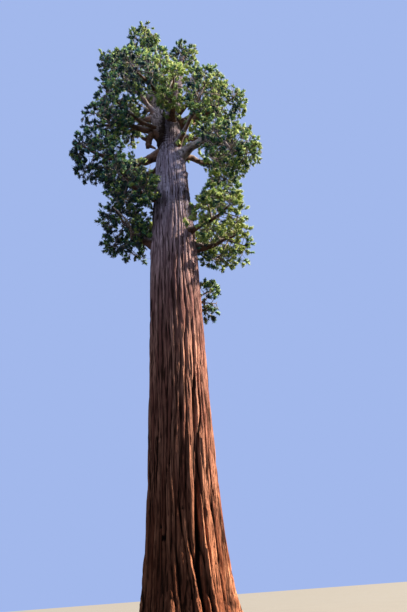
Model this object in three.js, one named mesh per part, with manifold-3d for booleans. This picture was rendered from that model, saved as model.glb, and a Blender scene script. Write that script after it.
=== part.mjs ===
// A giant sequoia: an old tree with a bare, furrowed bole, a crown that starts two fifths of the way
// up, and a broken top of two leaders. Each bough is one tapering limb, and each mass of foliage is
// a stem that goes on from its bough, side twigs, and toothed sprays.
//
// Millimetres, +Z up. The origin is the centre of the flat cut under the trunk, at ground level.
// The real tree is about 75 m high. All of it is scaled evenly by 40/75, and every size below is
// the model's own. The photograph was taken from -Y, with +X to its right.

import * as THREE from "three";
import { mergeVertices } from "three/addons/utils/BufferGeometryUtils.js";
import Module from "manifold-3d";

const wasm = await Module();
wasm.setup();

const METRE = 1000;
const TREE_TOP = 40 * METRE;
const TOUCHING_GAP = 0.3; // between two pieces that rest on each other
const SEED = 41;
const WELD = 1e-3; // vertices nearer than this are one

// Places and sizes in the tables are in metres.
const metres = (x, y, z) => new THREE.Vector3(x, y, z).multiplyScalar(METRE);

// Solids

function bare(geometry) {
  const copy = geometry.index ? geometry.toNonIndexed() : geometry.clone();
  copy.deleteAttribute("normal");
  copy.deleteAttribute("uv");
  return copy;
}

function solidOf(geometry) {
  const welded = mergeVertices(bare(geometry), WELD);
  return new wasm.Manifold(
    new wasm.Mesh({
      numProp: 3,
      vertProperties: welded.attributes.position.array,
      triVerts: new Uint32Array(welded.index.array),
    }),
  );
}

function geometryOf(solid) {
  const mesh = solid.getMesh();
  const geometry = new THREE.BufferGeometry();
  geometry.setAttribute("position", new THREE.BufferAttribute(mesh.vertProperties, 3));
  geometry.setIndex(new THREE.BufferAttribute(mesh.triVerts, 1));
  geometry.computeVertexNormals();
  return geometry;
}

const touches = (a, b) => a.intersect(b).volume() > 0;

// The largest piece of a solid, without loose scraps and sealed hollows.
function mainPiece(solid) {
  const pieces = solid.decompose();
  return pieces.reduce((most, piece) => (piece.volume() > most.volume() ? piece : most));
}

// Moves each vertex of a geometry to where a rule puts it.
function reshape(geometry, rule) {
  const position = geometry.attributes.position;
  const from = new THREE.Vector3();
  for (let i = 0; i < position.count; i += 1) {
    const to = rule(from.fromBufferAttribute(position, i));
    position.setXYZ(i, to.x, to.y, to.z);
  }
  return geometry;
}

// The same seeded numbers from 0 to 1 on every run.
function randomFrom(seed) {
  let state = seed >>> 0;
  return () => {
    state = (Math.imul(state, 1664525) + 1013904223) >>> 0;
    return state / 4294967296;
  };
}

// Trunk: its radius at each height, from the flare through the bole to the main leader's tip
const TRUNK_RADII = [
  [0.0, 1.72],
  [0.35, 1.57],
  [1.0, 1.47],
  [2.6, 1.37],
  [5.0, 1.3],
  [9.0, 1.24],
  [16.0, 1.2],
  [18.0, 1.12],
  [20.0, 1.03],
  [23.0, 0.89],
  [25.2, 0.72],
  [28.4, 0.5],
  [31.5, 0.36],
  [34.2, 0.2],
];
const LEADER_LEAN = 1.05 * METRE; // how far the main leader's tip stands to the right
const LEAN_FROM = 24.5 * METRE;
const BUTTRESSES = 7;
const BUTTRESS_DEPTH = 0.085; // share of the radius, at the ground
const BUTTRESS_HEIGHT = 3.2 * METRE;
const FLARE_TO_RIGHT = 0.075; // share of the radius by which the flare stands further out to the right
const TRUNK_SIDES = 26;
const TRUNK_ROWS = 18;

const TRUNK_TIP = TRUNK_RADII.at(-1)[0] * METRE;

function trunkRadius(height) {
  if (height <= 0) return TRUNK_RADII[0][1] * METRE;
  if (height >= TRUNK_TIP) return TRUNK_RADII.at(-1)[1] * METRE;
  const above = TRUNK_RADII.findIndex(([z]) => z * METRE >= height);
  const [z0, r0] = TRUNK_RADII[above - 1];
  const [z1, r1] = TRUNK_RADII[above];
  return THREE.MathUtils.mapLinear(height / METRE, z0, z1, r0, r1) * METRE;
}

function trunkAxis(height) {
  const up = Math.max(0, (height - LEAN_FROM) / (TRUNK_TIP - LEAN_FROM));
  return new THREE.Vector3(LEADER_LEAN * up ** 1.3, 0, height);
}

// The bole is fluted into buttresses near the ground, where it also stands out to the right.
function trunkSurface(angle, height, grow = 0) {
  const flare = Math.exp(-height / BUTTRESS_HEIGHT);
  const flutes = BUTTRESS_DEPTH * flare * Math.cos(BUTTRESSES * angle + 0.8);
  const lopsided = FLARE_TO_RIGHT * flare * Math.cos(angle);
  const radius = trunkRadius(height) * (1 + flutes + lopsided) + grow;
  return new THREE.Vector3(Math.cos(angle), Math.sin(angle), 0)
    .multiplyScalar(radius)
    .add(trunkAxis(height));
}

function trunkSolid(grow) {
  const tube = new THREE.CylinderGeometry(1, 1, 1, TRUNK_SIDES, TRUNK_ROWS);
  return solidOf(
    reshape(tube, ({ x, y, z }) => {
      const height = (TRUNK_TIP + grow) * (y + 0.5) ** 1.35; // rows lie closer near the flare
      const onAxis = Math.hypot(x, z) < 0.5;
      return onAxis ? trunkAxis(height) : trunkSurface(Math.atan2(-z, x), height, grow);
    }),
  );
}

// Limbs: a cylinder bent along part of a flat curve, with a radius at each place on it
function limb(curve, start, end, radiusAt, sides, rows, tipShare = 1) {
  const chord = curve.getPoint(1).sub(curve.getPoint(0));
  const bend = curve.getPoint(0.5).sub(curve.getPoint(0));
  const across = new THREE.Vector3().crossVectors(chord, bend);
  if (across.length() < METRE) across.crossVectors(chord, new THREE.Vector3(1, 0.3, 0));
  across.normalize();
  const tube = new THREE.CylinderGeometry(tipShare, 1, 1, sides, rows);
  return reshape(tube, ({ x, y, z }) => {
    const t = THREE.MathUtils.lerp(start, end, y + 0.5);
    const tangent = curve.getTangent(t);
    const side = new THREE.Vector3().crossVectors(across, tangent);
    return side
      .multiplyScalar(z)
      .addScaledVector(across, x)
      .multiplyScalar(radiusAt(t))
      .add(curve.getPoint(t));
  });
}

// Masses of foliage. Each fills an egg-shaped space: its centre, its half sizes, the limb that its
// bough or stem leaves, the height there, the bough's radius there, and the point that bends it.
// Where there is no bough, the mass's own stem reaches the limb.
const MASSES = [
  {
    name: "crown_top", at: [-1.85, 0.3, 37.3], size: [1.55, 1.5, 2.75],
    limb: "trunk", from: 23.0, radius: 0.58, bend: [-1.05, -0.15, 29.3], bough: "left_leader",
  },
  {
    name: "second_top", at: [1.3, 0.3, 35.3], size: [1.15, 1.05, 1.7],
    limb: "trunk", from: 34.1, radius: 0.17, bend: [1.15, 0.1, 35.0],
  },
  {
    name: "top_saddle", at: [-0.26, -2.2, 29.6], size: [1.45, 1.3, 1.8],
    limb: "trunk", from: 28.0, radius: 0.15, bend: [0.1, -1.4, 28.5],
  },
  {
    name: "upper_left", at: [-3.6, -0.4, 33.0], size: [1.7, 1.65, 2.21],
    limb: "left_leader", from: 29.6, radius: 0.2, bend: [-3.0, -0.2, 31.0], bough: "bough_upper_left",
  },
  {
    name: "left_shoulder", at: [-3.9, 0.9, 29.9], size: [1.7, 1.55, 1.95],
    limb: "left_leader", from: 27.6, radius: 0.2, bend: [-2.6, 0.5, 28.0], bough: "bough_left_shoulder",
  },
  {
    name: "left_inner", at: [-2.9, -1.9, 30.0], size: [1.5, 1.36, 1.95],
    limb: "left_leader", from: 27.4, radius: 0.17, bend: [-1.6, -1.0, 28.5], bough: "bough_left_inner",
  },
  {
    name: "leader_back", at: [-1.95, 1.9, 31.3], size: [1.3, 1.2, 1.7],
    limb: "left_leader", from: 28.9, radius: 0.13, bend: [-1.6, 1.0, 29.6],
  },
  {
    name: "left_middle", at: [-3.95, -0.6, 26.5], size: [1.75, 1.55, 1.95],
    limb: "trunk", from: 24.9, radius: 0.27, bend: [-2.1, -0.3, 27.3], bough: "bough_left_arched",
  },
  {
    name: "far_left", at: [-4.3, -1.1, 22.9], size: [1.8, 1.65, 1.95],
    limb: "trunk", from: 24.3, radius: 0.3, bend: [-2.6, -0.3, 21.8], bough: "bough_left_thick",
  },
  {
    name: "left_under", at: [-2.5, 1.2, 22.4], size: [1.5, 1.4, 1.9],
    limb: "trunk", from: 21.6, radius: 0.14, bend: [-1.6, 0.7, 21.4],
  },
  {
    name: "lower_left_front", at: [-2.05, -1.7, 19.5], size: [1.75, 1.5, 1.95],
    limb: "trunk", from: 19.8, radius: 0.22, bend: [-1.5, -0.9, 19.0], bough: "bough_lower_left_front",
  },
  {
    name: "lower_left", at: [-2.65, -0.4, 17.8], size: [1.6, 1.6, 2.3],
    limb: "trunk", from: 16.4, radius: 0.28, bend: [-1.9, -0.1, 16.4], bough: "bough_lower_left",
  },
  {
    name: "front_centre", at: [0.5, -3.0, 26.3], size: [1.5, 1.36, 1.69],
    limb: "trunk", from: 26.6, radius: 0.22, bend: [0.4, -1.8, 25.9], bough: "bough_front",
  },
  {
    name: "front_left", at: [-2.9, -2.5, 25.7], size: [1.4, 1.31, 1.76],
    limb: "left_leader", from: 26.2, radius: 0.15, bend: [-1.8, -1.3, 25.4],
  },
  {
    name: "front_far", at: [-1.4, -4.3, 25.9], size: [1.55, 1.46, 1.82],
    limb: "trunk", from: 28.0, radius: 0.2, bend: [-0.4, -2.4, 26.6], bough: "bough_front_far",
  },
  {
    name: "front_right", at: [2.2, -3.2, 25.1], size: [1.5, 1.36, 1.82],
    limb: "trunk", from: 23.9, radius: 0.22, bend: [1.2, -1.5, 24.0], bough: "bough_front_right",
  },
  {
    name: "upper_right", at: [2.4, -1.5, 28.3], size: [1.45, 1.45, 1.85],
    limb: "trunk", from: 27.6, radius: 0.16, bend: [1.7, -0.9, 27.8], bough: "bough_upper_right",
  },
  {
    name: "right_top", at: [3.9, 0.3, 29.2], size: [1.7, 1.55, 2.21],
    limb: "trunk", from: 26.2, radius: 0.32, bend: [1.8, 0.0, 27.7], bough: "bough_right_rising",
  },
  {
    name: "right_front", at: [3.3, -2.3, 21.6], size: [1.8, 1.5, 1.95],
    limb: "trunk", from: 22.7, radius: 0.3, bend: [2.6, -1.3, 25.2], bough: "bough_right_front",
  },
  {
    name: "right_outer", at: [4.0, 0.0, 23.9], size: [1.85, 1.6, 2.1],
    limb: "trunk", from: 25.3, radius: 0.2, bend: [2.2, 0.1, 25.7], bough: "bough_right_level",
  },
  {
    name: "right_hanging", at: [2.95, 0.4, 20.7], size: [1.35, 1.35, 1.6],
    limb: "trunk", from: 18.4, radius: 0.2, bend: [1.75, 0.2, 19.4], bough: "bough_right_low",
  },
  {
    name: "lower_right_front", at: [2.5, -1.9, 16.8], size: [1.55, 1.46, 1.65],
    limb: "trunk", from: 17.2, radius: 0.2, bend: [1.4, -1.0, 16.5], bough: "bough_lower_right_front",
  },
  {
    name: "lower_right", at: [2.85, 0.1, 16.6], size: [1.65, 1.55, 1.89],
    limb: "trunk", from: 16.4, radius: 0.26, bend: [1.9, 0.0, 15.9], bough: "bough_lower_right",
  },
  {
    name: "low_tuft", at: [1.65, 1.2, 13.7], size: [0.66, 0.72, 1.42],
    limb: "trunk", from: 13.0, radius: 0.09, bend: [1.25, 0.95, 12.95],
  },
  {
    name: "back_low_left", at: [-2.4, 3.1, 20.0], size: [1.7, 1.55, 1.89],
    limb: "trunk", from: 18.6, radius: 0.22, bend: [-1.3, 1.6, 18.6], bough: "bough_back_low_left",
  },
  {
    name: "back_low_right", at: [2.5, 3.1, 19.1], size: [1.7, 1.55, 1.89],
    limb: "trunk", from: 17.6, radius: 0.22, bend: [1.3, 1.5, 17.2], bough: "bough_back_low_right",
  },
  {
    name: "back_middle", at: [-0.3, 4.1, 23.0], size: [1.65, 1.55, 1.89],
    limb: "trunk", from: 21.2, radius: 0.22, bend: [0.0, 2.1, 21.5], bough: "bough_back_middle",
  },
  {
    name: "back_left", at: [-3.6, 3.3, 25.6], size: [1.7, 1.6, 2.02],
    limb: "trunk", from: 23.2, radius: 0.24, bend: [-1.9, 1.6, 23.7], bough: "bough_back_left",
  },
  {
    name: "back_right", at: [3.6, 3.2, 26.2], size: [1.7, 1.6, 2.02],
    limb: "trunk", from: 24.2, radius: 0.24, bend: [1.9, 1.5, 24.4], bough: "bough_back_right",
  },
  {
    name: "back_far", at: [0.0, 4.2, 29.4], size: [1.5, 1.5, 2.3],
    limb: "trunk", from: 26.6, radius: 0.2, bend: [0.2, 2.3, 27.6], bough: "bough_back_far",
  },
  {
    name: "back_upper_left", at: [-3.9, 3.1, 30.4], size: [1.55, 1.46, 1.95],
    limb: "left_leader", from: 28.5, radius: 0.17, bend: [-2.2, 1.7, 29.0], bough: "bough_back_upper_left",
  },
  {
    name: "back_upper_right", at: [2.8, 2.8, 30.9], size: [1.55, 1.46, 1.95],
    limb: "trunk", from: 27.4, radius: 0.17, bend: [1.6, 1.7, 28.4], bough: "bough_back_upper_right",
  },
  {
    name: "back_top", at: [-0.3, 2.2, 34.3], size: [1.5, 1.46, 2.08],
    limb: "trunk", from: 30.4, radius: 0.14, bend: [0.5, 1.5, 31.4],
  },
];

const LEADER_SIDES = 9;
const LEADER_ROWS = 9;
const BOUGH_SIDES = 6;
const BOUGH_ROWS = 4;
const STEM_SIDES = 4;
const STEM_ROWS = 2;
const STEM_REACH = 0.5; // how far past the centre the stem goes, as a share of the half size
const LIMB_TIP_SHARE = 0.16; // the limb's radius at the far end of its stem, as a share of its first
const MASS_MOUTH = 0.9; // scaled distance from the centre at which the bough gives way to the stem
const CURVE_STEP = 0.002; // step of a search along a limb's line

// Twigs and sprays
const TWIGS = 4;
const TWIG_REACH = 0.62;
const TWIG_THICKNESS = 0.05 * METRE;
const TWIG_FIRST = 0.2; // share of the stem below its first twig
const TWIG_RANGE = 0.65; // share of the stem that bears twigs
const CORE_SHARE = 0.46; // mean radius of the dense middle, as a share of the half size
const SPRAY_LENGTH = 0.85; // share of the space's mean half size
const SPRAY_THICKNESS = 0.16; // share of the spray's length
const GOLDEN_ANGLE = Math.PI * (3 - Math.sqrt(5));
// Half of a spray's toothed outline, from its tip to its root, as shares of its length
const SPRAY_RIM = [
  [1.0, 0.0],
  [0.78, 0.3],
  [0.52, 0.17],
  [0.32, 0.42],
  [0.0, 0.0],
];
const SPRAY_MIDDLE = 0.45;
// The sprays of one twig: how far along it each one sits, and how far ahead and aside it points
const SPRAYS_ON_TWIG = [
  { at: 0.9, ahead: 1, out: 0.15 },
  { at: 0.8, ahead: 0.4, out: 1 },
  { at: 0.7, ahead: 0.4, out: -1 },
];
const SPRAY_ATTEMPTS = 6; // each is turned another way, and a little smaller
const SPRAY_SHRINK = 0.4;
const UP = new THREE.Vector3(0, 0, 1);

for (const mass of MASSES) {
  mass.centre = metres(...mass.at);
  mass.half = metres(...mass.size);
  mass.meanHalf = (mass.half.x + mass.half.y + mass.half.z) / 3;
}

// Distance from a mass's centre, 1 on the skin of its space.
function scaledDistance(mass, point) {
  return point.clone().sub(mass.centre).divide(mass.half).length();
}

// Whether a point is in a mass's space and nearer to it than to any other.
function inOwnSpace(mass, point) {
  const own = scaledDistance(mass, point);
  return (
    own < 1.02 &&
    MASSES.every((other) => other === mass || scaledDistance(other, point) > own + 0.05)
  );
}

// The line of a bough and the stem that goes on from it: out from its limb, and through the centre.
function massCurve(mass, root) {
  const bend = metres(...mass.bend);
  const onward = mass.centre.clone().sub(bend).normalize();
  const end = onward.multiply(mass.half).multiplyScalar(STEM_REACH).add(mass.centre);
  return new THREE.QuadraticBezierCurve3(root, bend, end);
}

// Where the curve enters the mass's space.
function mouthOf(mass) {
  let t = 0;
  while (scaledDistance(mass, mass.curve.getPoint(t)) > MASS_MOUTH) t += CURVE_STEP;
  return t;
}

// A toothed blade: a ball with one row of points round its rim, which are drawn out to the outline.
function spray(root, direction, flat, length) {
  const along = direction.clone().normalize();
  const side = new THREE.Vector3().crossVectors(along, flat).normalize();
  const up = new THREE.Vector3().crossVectors(side, along);
  const teeth = 2 * (SPRAY_RIM.length - 1);
  const ball = new THREE.SphereGeometry(1, teeth, 2);
  return reshape(ball, ({ x, y, z }) => {
    const step = Math.round((Math.abs(Math.atan2(z, x)) / Math.PI) * (teeth / 2));
    const onRim = Math.hypot(x, z) > 0.5;
    const [ahead, out] = onRim ? SPRAY_RIM[step] : [SPRAY_MIDDLE, 0];
    return root
      .clone()
      .addScaledVector(along, ahead * length)
      .addScaledVector(side, out * Math.sign(z) * length)
      .addScaledVector(up, onRim ? 0 : (y * SPRAY_THICKNESS * length) / 2);
  });
}

// A three-sided twig that runs to a point.
function twig(from, to, thickness) {
  const line = new THREE.LineCurve3(from, to);
  return limb(line, 0, 1, () => thickness, 3, 1, 0);
}

// The dense middle of a mass: an uneven ball with twenty faces.
function core(mass, random) {
  const faces = mergeVertices(bare(new THREE.IcosahedronGeometry(1, 0)), WELD);
  return reshape(faces, (corner) =>
    corner
      .clone()
      .multiply(mass.half)
      .multiplyScalar(CORE_SHARE * (0.8 + 0.4 * random()))
      .add(mass.centre),
  );
}

// Directions spread evenly over a ball, turned by a seeded angle.
function evenDirection(index, count, turn) {
  const z = 1 - (2 * (index + 0.5)) / count;
  const ring = Math.sqrt(1 - z * z);
  const angle = index * GOLDEN_ANGLE + turn;
  return new THREE.Vector3(Math.cos(angle) * ring, Math.sin(angle) * ring, z);
}

// Side twigs leave the stem for places spread evenly over the inside of the skin. Each twig, and the
// stem itself, ends in one spray and bears two more that stand out to its sides. A twig or spray
// that would leave the space, or touch a limb or another spray, is skipped.
function foliage(mass, stem, obstacles, seed) {
  const random = randomFrom(seed);
  const turn = random() * 2 * Math.PI;
  const taken = [...obstacles];
  const fitting = (geometry) => {
    const corners = geometry.attributes.position;
    const point = new THREE.Vector3();
    for (let i = 0; i < corners.count; i += 1) {
      if (!inOwnSpace(mass, point.fromBufferAttribute(corners, i))) return null;
    }
    const solid = solidOf(geometry);
    return taken.some((other) => touches(solid, other)) ? null : solid;
  };
  const onStem = (share) => mass.curve.getPoint(THREE.MathUtils.lerp(mass.mouth, 1, share));
  const bearers = [{ pointAt: onStem, outward: mass.curve.getTangent(1), wood: stem }];
  for (let i = 0; i < TWIGS; i += 1) {
    const outward = evenDirection(i, TWIGS, turn);
    const to = outward.clone().multiply(mass.half).multiplyScalar(TWIG_REACH).add(mass.centre);
    const from = onStem(TWIG_FIRST + (TWIG_RANGE * (i + random())) / TWIGS);
    const wood = fitting(twig(from, to, TWIG_THICKNESS));
    bearers.push({ pointAt: (share) => from.clone().lerp(to, share), outward, wood });
  }
  const middle = fitting(core(mass, random));
  let joined = middle ? stem.add(middle) : stem;
  for (const { pointAt, outward, wood } of bearers.filter((bearer) => bearer.wood)) {
    if (wood !== stem) joined = joined.add(wood);
    const aside = new THREE.Vector3(random() - 0.5, random() - 0.5, random() - 0.5);
    aside.cross(outward).normalize();
    for (const { at, ahead, out } of SPRAYS_ON_TWIG) {
      const isTop = mass.top && wood === stem && at === SPRAYS_ON_TWIG[0].at;
      const root = pointAt(at);
      const way = isTop ? UP : outward.clone().multiplyScalar(ahead).addScaledVector(aside, out);
      let blade = null;
      for (let attempt = 0; attempt < SPRAY_ATTEMPTS && !blade; attempt += 1) {
        const flat = new THREE.Vector3(random() - 0.5, random() - 0.5, random() - 0.5);
        const shrink = 1 - (SPRAY_SHRINK * attempt) / SPRAY_ATTEMPTS;
        const length = isTop ? TREE_TOP - root.z : SPRAY_LENGTH * mass.meanHalf * shrink;
        blade = fitting(spray(root, way, flat, length));
      }
      if (blade) {
        taken.push(blade);
        joined = joined.add(blade);
      }
    }
  }
  return mainPiece(joined);
}

// Materials
const bark = new THREE.MeshStandardMaterial({ color: 0x8a4a33, roughness: 0.95, metalness: 0 });
const boughBark = new THREE.MeshStandardMaterial({ color: 0x7d6257, roughness: 0.9, metalness: 0 });
const needles = new THREE.MeshStandardMaterial({ color: 0x3d5230, roughness: 0.8, metalness: 0 });

const sequoia = new THREE.Group();

function place(name, solid, material) {
  const mesh = new THREE.Mesh(geometryOf(solid), material);
  mesh.name = name;
  sequoia.add(mesh);
}

const trunk = trunkSolid(0);
const grownTrunk = trunkSolid(TOUCHING_GAP);
place("trunk", trunk, bark);

// The lines of all boughs and stems. The left leader's own line carries other boughs.
const leader = MASSES[0];
leader.top = true;

function limbRadius(mass, grow = 0) {
  return (t) => mass.radius * METRE * (1 - (1 - LIMB_TIP_SHARE) * t) + grow;
}

function leaderAxis(height) {
  let t = 0;
  while (leader.curve.getPoint(t).z < height) t += CURVE_STEP;
  return leader.curve.getPoint(t);
}

for (const mass of MASSES) {
  const height = mass.from * METRE;
  const root = mass.limb === "trunk" ? trunkAxis(height) : leaderAxis(height);
  mass.curve = massCurve(mass, root);
  mass.mouth = mass.bough ? mouthOf(mass) : 0;
}

// Boughs and stems are cut clear of the trunk, and of the left leader.
const grownLeader = solidOf(
  limb(leader.curve, 0, leader.mouth, limbRadius(leader, TOUCHING_GAP), LEADER_SIDES, LEADER_ROWS),
);

function cutClear(solid, mass) {
  const cut = solid.subtract(grownTrunk);
  return mainPiece(mass === leader ? cut : cut.subtract(grownLeader));
}

const limbs = [trunk];
for (const mass of MASSES.filter(({ bough }) => bough)) {
  const sides = mass === leader ? LEADER_SIDES : BOUGH_SIDES;
  const rows = mass === leader ? LEADER_ROWS : BOUGH_ROWS;
  const whole = solidOf(limb(mass.curve, 0, mass.mouth, limbRadius(mass), sides, rows));
  const piece = cutClear(whole, mass);
  limbs.push(piece);
  place(mass.bough, piece, boughBark);
}

const stems = MASSES.map((mass) => {
  const start = mass.bough ? mass.mouth + TOUCHING_GAP / mass.curve.getLength() : 0;
  const stem = solidOf(limb(mass.curve, start, 1, limbRadius(mass), STEM_SIDES, STEM_ROWS));
  return mass.bough ? stem : cutClear(stem, mass);
});

MASSES.forEach((mass, index) => {
  const otherStems = stems.filter((stem) => stem !== stems[index]);
  const solid = foliage(mass, stems[index], [...limbs, ...otherStems], SEED + index);
  place(`foliage_${mass.name}`, solid, needles);
});

export default sequoia;
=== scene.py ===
"""A giant sequoia, dressed: bark with its relief on the trunk, leaders and boughs, fine twigs, and
needles in sprays. Metres, +Z up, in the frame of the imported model. The model is 40/75 of the real
tree's size, and every size below is the model's own."""

import math

import bpy
import numpy as np
from mathutils import Matrix, Vector, noise


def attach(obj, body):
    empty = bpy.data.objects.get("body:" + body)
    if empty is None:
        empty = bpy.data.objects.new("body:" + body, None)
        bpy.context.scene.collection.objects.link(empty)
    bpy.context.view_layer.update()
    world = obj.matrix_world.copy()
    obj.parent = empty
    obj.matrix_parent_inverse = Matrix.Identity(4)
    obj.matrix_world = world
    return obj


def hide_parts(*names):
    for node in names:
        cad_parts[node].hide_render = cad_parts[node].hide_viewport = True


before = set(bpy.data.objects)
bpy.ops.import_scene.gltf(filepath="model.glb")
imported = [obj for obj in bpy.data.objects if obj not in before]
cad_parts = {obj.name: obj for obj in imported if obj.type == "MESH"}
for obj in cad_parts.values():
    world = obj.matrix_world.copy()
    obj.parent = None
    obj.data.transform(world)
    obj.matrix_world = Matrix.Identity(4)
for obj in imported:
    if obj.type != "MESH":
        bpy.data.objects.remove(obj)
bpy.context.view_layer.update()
bpy.ops.object.select_all(action="DESELECT")


# Camera
# The photograph was taken from just above the ground, 18 m in front of the tree and a little to its
# right, tilted far up and rolled a few degrees. Its lens was solved from the trunk's edges.
PHOTO_HEIGHT = 612  # pixels
FOCAL_LENGTH = 450  # pixels
SENSOR_WIDTH = 36  # millimetres
EYE = Vector((1.34, -18.4, 0.853))
TILT = math.radians(32.5)
ROLL = math.radians(-4.3)

forward = Vector((0, math.cos(TILT), math.sin(TILT)))
level = Vector((1, 0, 0))
upright = level.cross(forward)
right = level * math.cos(ROLL) + upright * math.sin(ROLL)
up = upright * math.cos(ROLL) - level * math.sin(ROLL)

bpy.ops.object.camera_add(location=EYE)
camera = bpy.context.object
camera.rotation_euler = Matrix((right, up, -forward)).transposed().to_euler()
camera.data.sensor_width = SENSOR_WIDTH
camera.data.lens = SENSOR_WIDTH * FOCAL_LENGTH / PHOTO_HEIGHT
bpy.context.scene.camera = camera


# Floor and light
# A plain grey floor at the foot of the trunk, under a pale blue backdrop. One hard lamp stands to the
# right, halfway up, like the sun. The rest of the light is even and weak, with one wide soft box up on
# the left in front of the crown, whose beam leaves the foot in shade.
FLOOR_RADIUS = 150
FLOOR_SIDES = 96
CLOUDS_TO_A_METRE = 0.6  # the paint's faint clouds
FLOOR_DROP = 0.004  # keeps the floor off the flat cut under the trunk
TO_LAMP = Vector((0.757, 0.066, 0.65))
LAMP_STRENGTH = 13.5
LAMP_WIDTH = math.radians(2)
SOFT_BOX_PLACE = Vector((-7, -22, 31))
SOFT_BOX_AIM = Vector((0, 0, 27))
SOFT_BOX_SIDE = 12
SOFT_BOX_SPREAD = math.radians(70)
SOFT_BOX_POWER = 1000
EVEN_LIGHT = 0.22


def linear(colour):
    """A colour written as #rrggbb, in linear light."""
    shares = [int(colour[i : i + 2], 16) / 255 for i in (1, 3, 5)]
    return [s / 12.92 if s <= 0.04045 else ((s + 0.055) / 1.055) ** 2.4 for s in shares] + [1]


def add_node(tree, kind, values=None, links=None, **settings):
    """Adds one node: its own settings, its input values, and what feeds its other inputs."""
    made = tree.nodes.new(kind)
    for name, value in settings.items():
        setattr(made, name, value)
    for socket, value in (values or {}).items():
        made.inputs[socket].default_value = value
    for socket, source in (links or {}).items():
        tree.links.new(source, made.inputs[socket])
    return made


def new_material(name):
    material = bpy.data.materials.new(name)
    material.use_nodes = True
    material.node_tree.nodes.clear()
    return material


bpy.ops.mesh.primitive_circle_add(
    vertices=FLOOR_SIDES, radius=FLOOR_RADIUS, fill_type="NGON", location=(0, 0, -FLOOR_DROP)
)
floor = bpy.context.object
floor.name = "floor"
# Matt paint, rolled on: dull and almost even.
floor_paint = new_material("matt floor paint")
tree = floor_paint.node_tree
place = add_node(tree, "ShaderNodeTexCoord").outputs["Object"]
cloud = add_node(tree, "ShaderNodeTexNoise", {"Scale": CLOUDS_TO_A_METRE}, {"Vector": place})
greys = {6: linear("#807f7d"), 7: linear("#888785")}
tint = add_node(tree, "ShaderNodeMix", greys, {0: cloud.outputs[0]}, data_type="RGBA")
paint = add_node(tree, "ShaderNodeBsdfPrincipled", {"Roughness": 0.9}, {"Base Color": tint.outputs[2]})
add_node(tree, "ShaderNodeOutputMaterial", links={"Surface": paint.outputs[0]})
floor.data.materials.append(floor_paint)
floor.visible_diffuse = False  # it throws no light back up at the foot

bpy.ops.object.light_add(type="SUN")
lamp = bpy.context.object
lamp.rotation_euler = TO_LAMP.to_track_quat("Z", "Y").to_euler()
lamp.data.energy = LAMP_STRENGTH
lamp.data.angle = LAMP_WIDTH
lamp.data.color = linear("#fff0db")[:3]

bpy.ops.object.light_add(type="AREA", location=SOFT_BOX_PLACE)
soft_box = bpy.context.object
soft_box.rotation_euler = (SOFT_BOX_PLACE - SOFT_BOX_AIM).to_track_quat("Z", "Y").to_euler()
soft_box.data.size = SOFT_BOX_SIDE
soft_box.data.energy = SOFT_BOX_POWER
soft_box.data.spread = SOFT_BOX_SPREAD
soft_box.data.color = linear("#cbdcff")[:3]
soft_box.visible_camera = False

world = bpy.data.worlds.new("even light")
bpy.context.scene.world = world
world.use_nodes = True
world.node_tree.nodes.clear()
tree = world.node_tree
seen = add_node(tree, "ShaderNodeLightPath")
light = add_node(tree, "ShaderNodeBackground", {"Color": linear("#ccd4ea"), "Strength": EVEN_LIGHT})
backdrop = add_node(tree, "ShaderNodeBackground", {"Color": linear("#a2b8ec"), "Strength": 1.0})
links = {0: seen.outputs["Is Camera Ray"], 1: light.outputs[0], 2: backdrop.outputs[0]}
either = add_node(tree, "ShaderNodeMixShader", links=links)
add_node(tree, "ShaderNodeOutputWorld", links={"Surface": either.outputs[0]})
bpy.context.scene.view_settings.view_transform = "Standard"


# Trunk
# One bole from the flat cut at the ground to the tip of the main leader, fluted into buttresses at
# the foot. Its bark is soft, fibrous and up to a hand thick, in long ridges that part and join again.
# The bole is drawn up from its foot stretch by stretch, cut into rows, and its bark is pressed in.
TRUNK_RADII = [  # heights, and the radius there
    (0.0, 1.72), (0.35, 1.57), (1.0, 1.47), (2.6, 1.37), (5.0, 1.3), (9.0, 1.24), (16.0, 1.2),
    (18.0, 1.12), (20.0, 1.03), (23.0, 0.89), (25.2, 0.72), (28.4, 0.5), (31.5, 0.36), (34.2, 0.2),
]
TRUNK_TIP = TRUNK_RADII[-1][0]
LEADER_LEAN = 1.05  # how far the main leader's tip stands to the right
LEAN_FROM = 24.5
LEAN_CURVE = 1.3  # 1 for a straight lean
BUTTRESSES = 7
BUTTRESS_TURN = 0.8
BUTTRESS_DEPTH = 0.085  # share of the radius
BUTTRESS_HEIGHT = 3.2
FLARE_TO_RIGHT = 0.075  # how much more the foot stands out there
TRUNK_SIDES = 288
TRUNK_STRETCHES = [(3.4, 44), (16.0, 94), (25.2, 96), (TRUNK_TIP, 88)]  # top, and cuts below it
FURROWS_ROUND = 37  # long furrows round the bole
FURROW_SHARPNESS = 0.6  # the less, the narrower the furrows between round ridges
LONG_SHARE, SHORT_SHARE = 0.62, 0.38  # of the bark's relief, for the long ridges and the short ones
RIDGE_WIDTH = 0.16  # of the short ridges
RIDGE_STRETCH = 18  # how many times longer than wide a short ridge is
RIDGE_STRAY = 0.5  # how far it strays to the side, as a share of its width
RIDGE_STRAY_SIZES = (1.3, 1.3, 4.0)
# A short ridge is a broad one and a narrow one on it: share of its relief, width and length as
# shares of the whole, the noise at which it is full high, roundness, and seed
RIDGE_KINDS = [(0.68, 1.0, 1.0, 0.2, 0.75, 0.0), (0.32, 0.42, 0.6, 0.22, 0.8, 3.1)]
MEAN_RIDGE = 0.72  # the relief that neither swells the bole nor thins it
TONE_LENGTH = 2.4  # stretch of a ridge that weathers alike
TONE_SPREAD = 0.9
PALE_RELIEF = 0.5  # how much stronger the relief of the palest ridges is
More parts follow.
